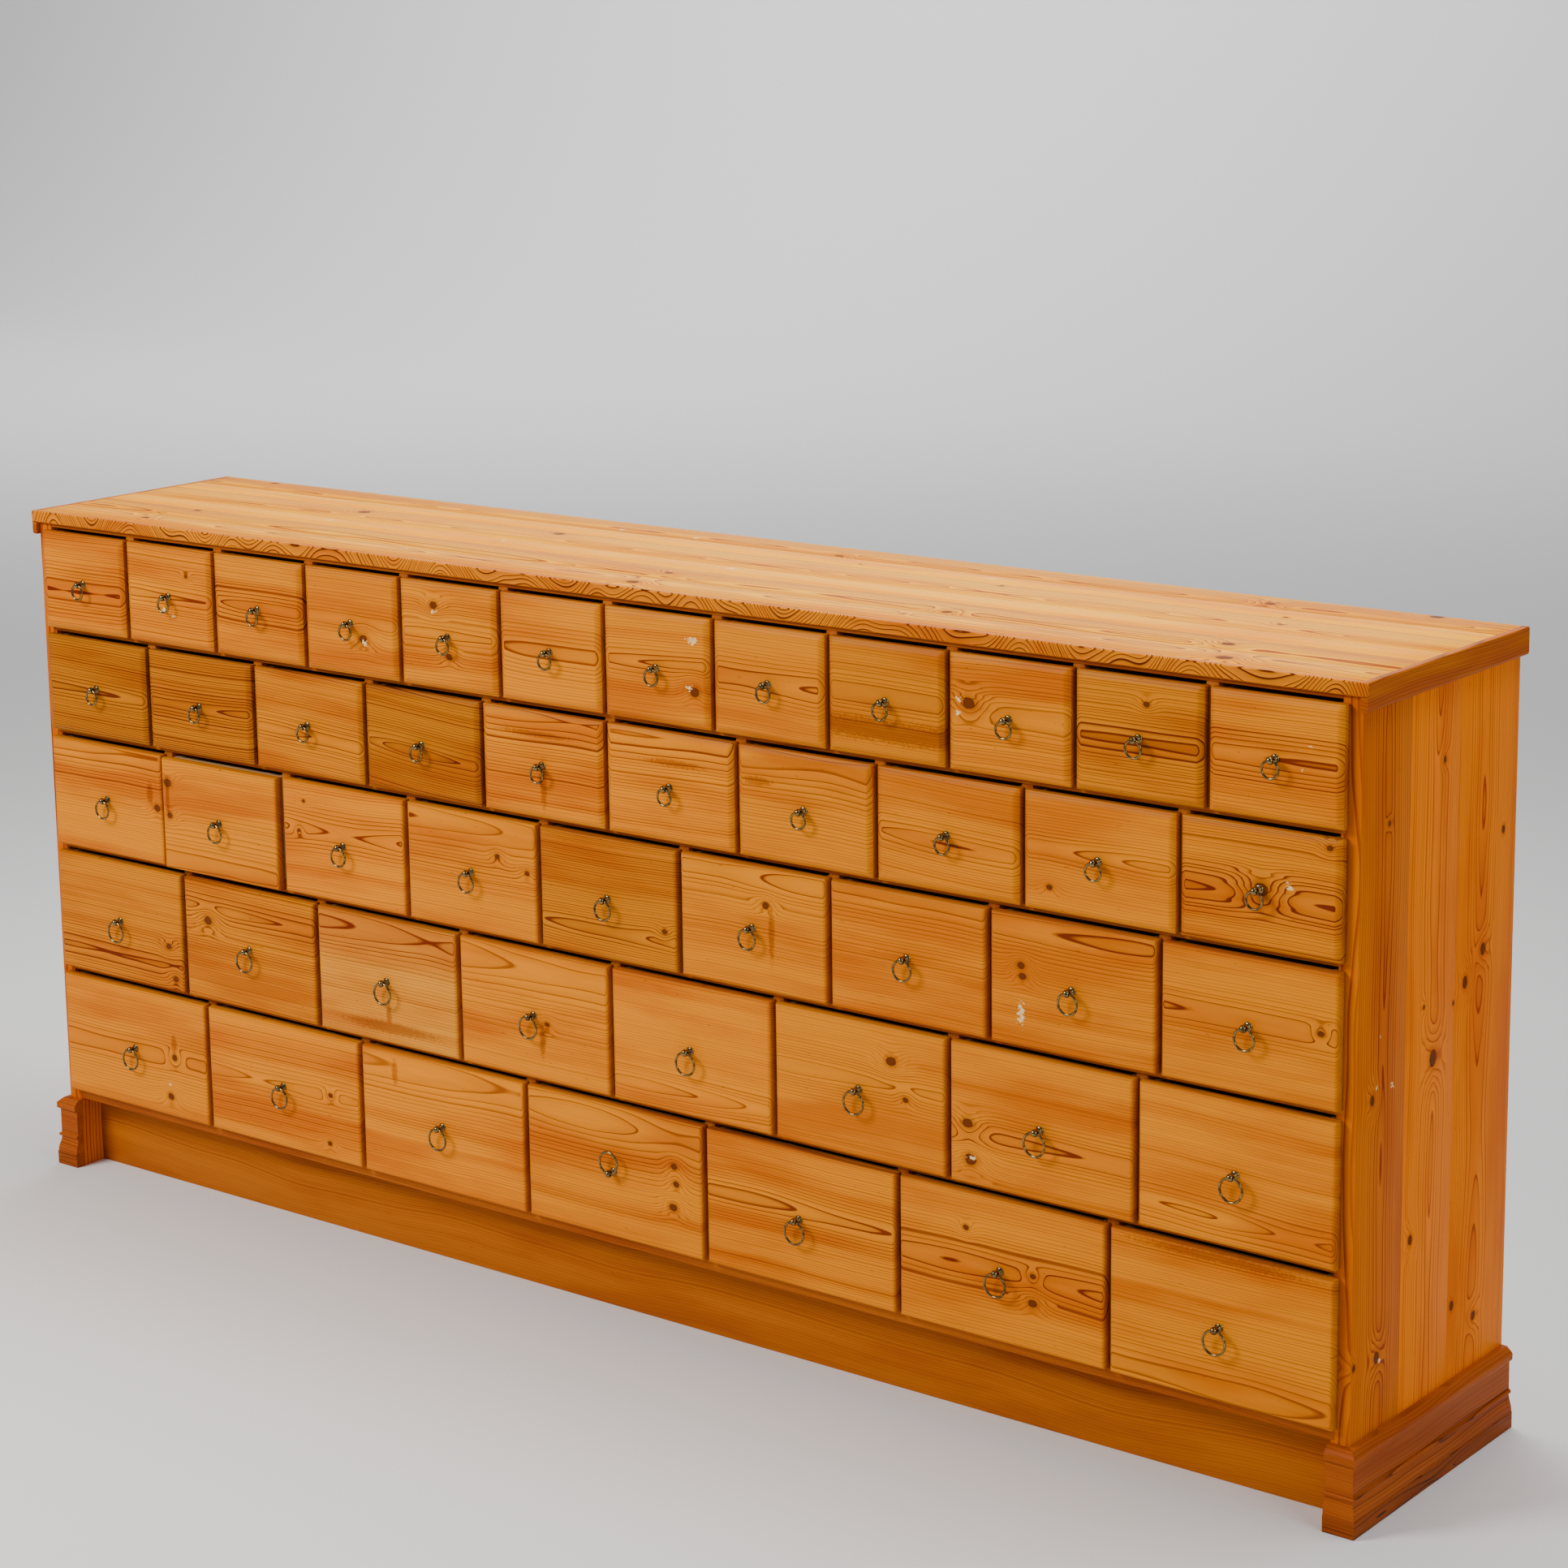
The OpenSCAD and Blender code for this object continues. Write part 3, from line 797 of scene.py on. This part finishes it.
# Each front's figure: its pith, which lies in front of the face, so that the lines close at
# the bevels, and its knots, chips and stains. All in mm from the middle of the front.
FRONT_LOOKS = {
    (1, 1): dict(depth=-20, height=-11),
    (1, 2): dict(depth=-15, height=1, knots=[(35, 30, 3)], chips=[(-8, -18, 9, 5), (7, -25, 6, 4)]),
    (1, 3): dict(depth=-14, height=6, sway=30, contrast=1.49),
    (1, 4): dict(depth=-14, height=3, sway=26, knots=[(22, -18, 7)], chips=[(24, -22, 8, 6)]),
    (1, 5): dict(depth=-16, height=1, knots=[(-22, 38, 6), (2, -24, 5)], chips=[(-22, 30, 7, 4)]),
    (1, 6): dict(depth=-26, height=1, contrast=1.04),
    (1, 7): dict(depth=-15, height=6, knots=[(58, -22, 7)], chips=[(50, -18, 7, 6), (56, 38, 12, 9)]),
    (1, 8): dict(depth=-30, height=2, contrast=0.91),
    (1, 9): dict(depth=-18, height=3, tone=0.84, stains=[(8, -34, 230, 17)]),
    (1, 10): dict(depth=-15, height=3, knots=[(-52, 12, 8)], chips=[(-66, 15, 5, 5), (-66, 0, 5, 5)]),
    (1, 11): dict(depth=-16, height=-4, contrast=1.82, tone=0.84, knots=[(10, 38, 4)]),
    (1, 12): dict(depth=-14, height=-1, contrast=1.49, chips=[(40, 18, 5, 2), (32, -8, 2, 3)]),
    (2, 1): dict(depth=-11, height=-3, contrast=2.21, tone=0.64, wobble=1.6),
    (2, 2): dict(depth=-12, height=-1, contrast=2.08, tone=0.70),
    (2, 3): dict(depth=-11, height=-16, contrast=1.95, tone=0.86, sway=34),
    (2, 4): dict(depth=-10, height=-11, contrast=2.21, tone=0.68, sway=40),
    (2, 5): dict(depth=-60, height=70, stains=[(-10, 38, 74, 5), (2, -22, 7, 40)], contrast=1.17),
    (2, 6): dict(depth=-60, height=66, stains=[(10, 30, 60, 6)], contrast=1.1),
    (2, 7): dict(depth=-60, height=60, stains=[(-66, 26, 30, 7)], contrast=1.1),
    (2, 8): dict(depth=-15, height=-14, sway=30),
    (2, 9): dict(depth=-15, height=7, sway=30, knots=[(-62, -38, 4)]),
    (2, 10): dict(
        depth=-16, height=-8, contrast=1.56, knots=[(2, 0, 9), (82, 56, 4)], chips=[(36, 8, 5, 7)]
    ),
    (3, 1): dict(depth=-40, height=70, knots=[(97, 2, 6)], stains=[(84, 20, 8, 20)]),
    (3, 2): dict(depth=-40, height=-60, knots=[(-95, 42, 7), (-93, -2, 5)], stains=[(-96, 20, 5, 34)]),
    (3, 3): dict(depth=-26, height=15, knots=[(-78, 10, 3), (-68, 50, 3)], contrast=1.04),
    (3, 4): dict(depth=-50, height=60, knots=[(44, 26, 4), (92, 12, 4)]),
    (3, 5): dict(depth=-13, height=-34, contrast=1.89, tone=0.78, sway=34, knots=[(88, -26, 4)]),
    (3, 6): dict(depth=-36, height=60, knots=[(20, 30, 5)], stains=[(28, -4, 6, 44)]),
    (3, 7): dict(depth=-40, height=72),
    (3, 8): dict(knots=[(-66, 18, 5), (-64, 6, 5)], chips=[(-66, -36, 8, 20)], depth=-34, height=60),
    (3, 9): dict(depth=-24, height=5, contrast=1.04, knots=[(86, 8, 4)]),
    (4, 1): dict(depth=-16, height=-48, contrast=1.95, tone=0.84, knots=[(93, -20, 5), (104, -64, 5)]),
    (4, 2): dict(depth=-15, height=44, contrast=2.02, tone=0.86, knots=[(-76, 28, 7)]),
    (4, 3): dict(
        depth=-50, height=60, light=(0.80, 0.31, 0.02), stains=[(2, -46, 6, 30), (4, -60, 110, 10)],
        contrast=1.04,
    ),
    (4, 4): dict(depth=-60, height=60, knots=[(22, -8, 4)], stains=[(14, -30, 6, 30)], contrast=1.04),
    (4, 5): dict(depth=-15, height=-54, sway=20),
    (4, 6): dict(depth=-16, height=10, knots=[(46, 42, 7), (66, 0, 4)], contrast=1.17, sway=20),
    (4, 7): dict(depth=-16, height=-20, knots=[(-96, -10, 7), (-92, -52, 8)], chips=[(-90, -50, 8, 5)]),
    (4, 8): dict(depth=-15, height=-53, sway=18),
    (5, 1): dict(
        depth=-30, height=-3, contrast=1.04, knots=[(76, 0, 5), (66, -56, 6)],
        stains=[(76, 18, 8, 18)], chips=[(64, -38, 4, 5)],
    ),
    (5, 2): dict(depth=-22, height=1, contrast=1.17, knots=[(86, 4, 4), (82, -62, 4)]),
    (5, 3): dict(depth=-60, height=66, contrast=1.04, stains=[(-80, 58, 7, 22)]),
    (5, 4): dict(depth=-60, height=60, knots=[(95, 26, 5), (98, 4, 5), (93, -26, 6)], contrast=1.04),
    (5, 5): dict(depth=-18, height=11, contrast=1.56),
    (5, 6): dict(depth=-30, height=0, knots=[(-46, 42, 4), (44, 4, 4), (44, -28, 6)], contrast=1.1),
    (5, 7): dict(depth=-40, height=-70, stains=[(0, 78, 140, 7)]),
}


LOWER_CONTRAST = 0.85


def front_material(row, column):
    """A front's own pine: rings drawn at random, then what FRONT_LOOKS says of it."""
    rng = random.Random(row * 100 + column)
    look = dict(
        seed=row * 17.3 + column * 5.1,
        ring=rng.uniform(2.9, 3.5),
        sway=rng.uniform(10, 22),
        wobble=rng.uniform(0.5, 1.0),
        contrast=rng.uniform(1.1, 1.3),
        tone=rng.uniform(0.94, 1.04),
    )
    look.update(FRONT_LOOKS[row, column])
    if row > 2:
        look["contrast"] *= LOWER_CONTRAST
    return pine(f"pine_front_{row}_{column:02d}", **look)


def make_drawers():
    box_wood = pine("pine_box", seed=3.0, depth=40, height=10, roughness=0.62, gloss=0.02, **RAW)
    brasses = [brass(f"brass_{k}", 37.0 * k) for k in range(3)]
    for (row, column), name in DRAWERS.items():
        rng = random.Random(row * 1000 + column)
        lo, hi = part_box(name)
        face_y = FRAME_Y - FRONT_SEAT - FRONT_T
        front_lo = Vector((lo.x, face_y, lo.z))
        front_hi = Vector((hi.x, face_y + FRONT_T, hi.z))
        make_front(name, row, front_lo, front_hi, front_material(row, column), rng)
        metal = brasses[rng.randrange(3)]
        middle = (front_lo + front_hi) / 2
        ball = Vector((middle.x, face_y - BALL_OUT, middle.z))
        pull = bmesh.new()
        add_stud(pull, ball, face_y, row)
        if name in RINGS:
            ring = bmesh.new()
            add_ring(ring, ball, row, rng, False)
            body = RINGS[name]
            finish_piece(ring, "wire_" + body, metal, body, [body], 80)
        else:
            add_ring(pull, ball, row, rng, (row, column) == FLIPPED)
        finish_piece(pull, "pull" + name[6:], metal, name, [name], 50)
        box_lo, box_hi = box_corners(name)
        make_box(name, box_lo, box_hi, box_wood, rng)


def box_corners(name):
    """Where a drawer's box is: its CAD solids less the front, which is wider."""
    behind = [v.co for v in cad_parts[name].data.vertices if v.co.y > FRAME_Y + 20 * MM]
    low = Vector(min(p[k] for p in behind) for k in range(3))
    high = Vector(max(p[k] for p in behind) for k in range(3))
    low.y = FRAME_Y - 0.4 * MM
    return low, high


# ---------------------------------------------------------------- the case

# The worktop's pine is lighter and yellower than the sides' pine: painted light from above on the top
# and painted shade on the sides.
TOP_LOOK = dict(light=(0.99, 0.42, 0.0), dark=(0.40, 0.075, 0.0), warm=(0.88, 0.70, 0.5), gloss=0.02)
SIDE_LOOK = dict(light=(0.92, 0.225, 0.0), dark=(0.42, 0.055, 0.0), warm=(0.82, 0.66, 0.5), gloss=0.02)
# The shelves' and uprights' pine is darker than the other boards: painted shade in the recesses between
# the drawers.
FRAME_SHADED_LOOK = dict(light=(0.50, 0.135, 0.010), dark=(0.22, 0.045, 0.003), warm=(0.8, 0.62, 0.5))
FOOT_LOOK = dict(light=(0.42, 0.092, 0.008), dark=(0.08, 0.014, 0.002), warm=(0.8, 0.66, 0.58))
PLINTH_LOOK = dict(light=(0.50, 0.135, 0.006), dark=(0.15, 0.03, 0.002), warm=(0.8, 0.66, 0.55))
BACK_LOOK = dict(light=(0.36, 0.21, 0.10), dark=(0.20, 0.095, 0.04), warm=(0.85, 0.8, 0.74))

# Boards of the worktop: where each ends behind the frame's face, its tone, its pith, and the
# knots and chips on it as (x, distance behind the frame's face, radius), all in mm.
TOP_BOARDS = [
    (60, 0.95, dict(depth=20, height=10, contrast=2.03)),
    (125, 0.90, dict(depth=26, height=-14, contrast=2.03)),
    (172, 1.08, dict(depth=34, height=40, contrast=1.26)),
    (250, 0.95, dict(depth=18, height=-12, contrast=2.11)),
    (292, 1.08, dict(depth=30, height=30, contrast=1.35)),
    (None, 0.86, dict(depth=24, height=-10, contrast=2.11)),
]
TOP_KNOTS = [
    (-616, 229, 9), (-281, 238, 8), (-816, 117, 6), (-832, 37, 6), (-848, 76, 3),
    (116, 302, 6), (172, 268, 3), (16, 96, 6), (18, 26, 9), (395, 242, 4), (435, 75, 7),
    (400, 40, 3), (709, 316, 7), (764, 255, 4), (780, 216, 4), (788, 91, 8), (822, 26, 10),
    (900, 348, 8), (-900, 344, 6),
]
TOP_CHIPS = [
    (-608, 156, 8), (-305, 160, 7), (-374, 52, 6), (-234, 307, 7), (-114, 309, 7), (359, 276, 7),
    (60, 160, 9),
]

# The same for the right-hand side, whose knots are (distance behind the frame's face, z).
SIDE_BOARDS = [
    (105, 0.74, dict(depth=-10, height=-4, contrast=1.9, ring=4.2, sway=24)),
    (215, 1.0, dict(depth=-12, height=-6, contrast=1.3, ring=4.0, sway=26)),
    (None, 0.97, dict(depth=-26, height=10, contrast=1.1)),
]
SIDE_KNOTS = [
    (168, 480, 10), (238, 547, 7), (278, 575, 7), (212, 530, 3), (145, 542, 3), (125, 288, 6),
    (225, 182, 6), (277, 154, 6), (60, 760, 3), (35, 468, 6), (55, 178, 7), (6, 182, 4),
    (320, 700, 5), (180, 805, 4),
]
SIDE_CHIPS = [(78, 473, 6), (50, 535, 4), (45, 480, 4), (62, 172, 5)]


def node_solids(name):
    """(lo, hi) of each separate solid of a CAD node, from its loose parts."""
    bm = bmesh.new()
    bm.from_mesh(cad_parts[name].data)
    bmesh.ops.remove_doubles(bm, verts=bm.verts, dist=1e-6)
    seen, found = set(), []
    for first in bm.verts:
        if first in seen:
            continue
        todo, part = [first], []
        seen.add(first)
        while todo:
            v = todo.pop()
            part.append(v.co.copy())
            for e in v.link_edges:
                other = e.other_vert(v)
                if other not in seen:
                    seen.add(other)
                    todo.append(other)
        lo = Vector(min(p[k] for p in part) for k in range(3))
        hi = Vector(max(p[k] for p in part) for k in range(3))
        found.append((lo, hi))
    bm.free()
    return sorted(found, key=lambda box: (round(box[0].z, 4), round(box[0].x, 4)))


def glued_boards(name, node, boards, look, along, inward, knots, chips, spot, seed):
    """Boards glued edge to edge in a panel. spot turns a knot's place into a point."""
    lo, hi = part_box(node)
    start = lo.y
    for k, (end, tone, more) in enumerate(boards):
        stop = hi.y if end is None else FRAME_Y + end * MM
        low, high = Vector((lo.x, start, lo.z)), Vector((hi.x, stop, hi.z))
        middle = (low + high) / 2
        across = along.cross(inward)

        def on_board(places, each):
            found = []
            for u, v, size in places:
                place = spot(u, v)
                if start <= place.y < stop:
                    d = place - middle
                    found.append((d.dot(along) / MM, d.dot(across) / MM, *each(size)))
            return found

        material = pine(
            f"pine_{name}_{k + 1}",
            seed=seed + 3.7 * k,
            tone=tone,
            knots=on_board(knots, lambda size: (size,)),
            chips=on_board(chips, lambda size: (size, size)),
            **(look | more),
        )
        wood = Wood()
        wood.plank(low, high, along, inward, (0, 0, 0), 0.5, 0.1)
        wood.finish(f"{name}_{k + 1}", material, "case", [node])
        start = stop


def make_panels():
    glued_boards(
        "worktop", "top_panel", TOP_BOARDS, TOP_LOOK, X, -Z, TOP_KNOTS, TOP_CHIPS,
        lambda x, y: Vector((x * MM, FRAME_Y + y * MM, TOP_HI.z)), 2.0,
    )
    for side, inward, seed in (("right", -X, 11.0), ("left", X, 31.0)):
        sign = -inward.x
        knots = [k for k in SIDE_KNOTS if sign > 0 or k[2] > 5]
        glued_boards(
            "side_" + side, "side_panel_" + side, SIDE_BOARDS, SIDE_LOOK, Z, inward,
            knots, SIDE_CHIPS if sign > 0 else [],
            lambda y, z: Vector((sign * HALF_W, FRAME_Y + y * MM, z * MM)), seed,
        )


def make_edging():
    """Strips round the worktop: a thin one in front and deeper ones that lap the sides."""
    lo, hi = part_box("top_edging")
    under, top = TOP_LO.z, TOP_HI.z
    front = Wood()
    ease = 1.2 * MM
    tall, thick = top - under, TOP_LO.y - lo.y
    corner = thick - ease
    section = [(0, 0), (corner, 0), (thick, ease), (thick, tall - ease), (corner, tall), (0, tall)]
    origin = Vector((0, TOP_LO.y, under))
    front.sweep(section, origin, X, -Y, (TOP_LO.x, TOP_HI.x), (-1, 1), figure=2.1)
    look = dict(light=(0.80, 0.235, 0.0), dark=(0.11, 0.016, 0.0), warm=(0.8, 0.6, 0.5))
    strong = pine(
        "pine_edging_front", seed=6.0, depth=95, height=-50, ring=3.2, sway=230, contrast=2.0, **look
    )
    front.finish("edging_front", strong, "case", ["top_edging"])
    look = dict(light=(0.52, 0.135, 0.002), dark=(0.13, 0.022, 0.0))
    plain = pine("pine_edging_end", seed=9.0, depth=20, height=14, ring=3.0, contrast=1.6, **look)
    for sign, name in ((-1, "left"), (1, "right")):
        wide = (hi.x - lo.x) / 2 - TOP_HI.x
        radius = 4 * MM
        lower = [(0, 0), (wide - radius, 0)]
        for k in range(1, 6):
            a = math.radians(90 * k / 5)
            out = wide - radius + radius * math.sin(a)
            lower.append((out, radius - radius * math.cos(a)))
        deep = under - 0.2 * MM - lo.z
        lower += [(wide, deep), (0, deep)]
        upper = [(0, deep), (wide, deep), (wide, top - lo.z - ease)]
        upper += [(wide - ease, top - lo.z), (0, top - lo.z)]
        strip = Wood()
        origin = Vector((sign * TOP_HI.x, TOP_LO.y, lo.z))
        shift = (0, 0.1 * sign, 0)
        run = hi.y - TOP_LO.y
        strip.sweep(lower, origin, Y, X * sign, (lo.y - TOP_LO.y, run), (0, 0), shift)
        strip.sweep(upper, origin, Y, X * sign, (0, run), (-thick / wide, 0), shift)
        strip.finish("edging_" + name, plain, "case", ["top_edging"])


def moulding_profile():
    """(distance out, height) of the moulding on the plinth: an ogee, a bead and a nosing."""
    points = [(0, 19.6), (14.2, 19.6), (14.2, 21)]
    for k in range(1, 13):
        t = k / 12
        points.append((10.5 + 3.7 * (1 + math.cos(math.pi * t)) / 2, 21 + 19 * t))
    for k in range(-4, 5):
        a = math.radians(20 * k)
        points.append((10.5 + 2.7 * math.cos(a), 42.7 + 2.7 * math.sin(a)))
    points += [(10.5, 45.4), (10.4, 79.6)]
    for k in range(-4, 1):
        a = math.radians(20 * k)
        points.append((11.5 + 2.5 * math.cos(a), 82.5 + 2.5 * math.sin(a)))
    return points + [(14, 88.4), (13.6, 89.2), (7.4, 95.2), (6.6, 95.8), (0, 96)]


def make_mouldings():
    _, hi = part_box("base_mouldings")
    back = HALF_W - HALF_IN
    band = [(0, 0), (14.4, 0), (15, 0.6), (15, 18.9), (14.4, 19.5), (0, 19.5)]
    look = FOOT_LOOK | dict(contrast=1.1)
    moulded = pine("pine_moulding", seed=21.0, depth=16, height=40, ring=2.6, **look)
    banded = pine("pine_band", seed=25.0, depth=10, height=8, ring=3.0, wobble=1.8, tone=0.8, **look)
    for name, profile, material in (
        ("moulding", moulding_profile(), moulded),
        ("band", band, banded),
    ):
        profile = [(o * MM, z * MM) for o, z in profile]
        for sign, side in ((-1, "left"), (1, "right")):
            wood = Wood()
            corner = Vector((sign * HALF_W, FRAME_Y, 0))
            shift = (0.4 * sign, 0, 0)
            run = hi.y - FRAME_Y
            wood.sweep(profile, corner, Y, X * sign, (0, run), (-1, 0), shift)
            wood.sweep(profile, corner, X * -sign, -Y, (0, back), (-1, 0), (2.0, 0, 0))
            wood.finish(f"{name}_{side}", material, "case", ["base_mouldings"])


def make_planks(node, piece, material, along, inward, edge=1.0, tones=0.1):
    """A plank with its own grain for each solid of a CAD node."""
    rng = random.Random(piece)
    wood = Wood()
    for lo, hi in node_solids(node):
        shift = (rng.uniform(-4, 4), rng.uniform(-0.3, 0.3), 0)
        wood.plank(lo, hi, along, inward, shift, edge, 0.12, rng.uniform(1 - tones, 1 + tones))
    wood.finish(piece, material, "case", [node])


def make_case():
    make_panels()
    make_edging()
    make_mouldings()
    # The shelves and uprights get the darkened frame pine: painted shade between the drawers.
    frame_wood = pine("pine_shelf", seed=5.0, depth=24, height=30, **FRAME_SHADED_LOOK)
    upright = pine("pine_upright", seed=8.0, depth=24, height=20, **FRAME_SHADED_LOOK)
    back = pine("pine_back", seed=4.0, depth=30, roughness=0.6, gloss=0.02, **BACK_LOOK)
    plinth = pine("pine_plinth", seed=7.0, depth=12, height=8, ring=3.8, sway=50, **PLINTH_LOOK)
    make_planks("shelves", "shelf_boards", frame_wood, X, Y)
    make_planks("dividers", "uprights", upright, Z, Y)
    make_planks("back_boards", "back", back, Z, -Y)
    make_planks("plinth_board", "plinth", plinth, X, Y)


make_camera()
make_studio()
make_drawers()
make_case()
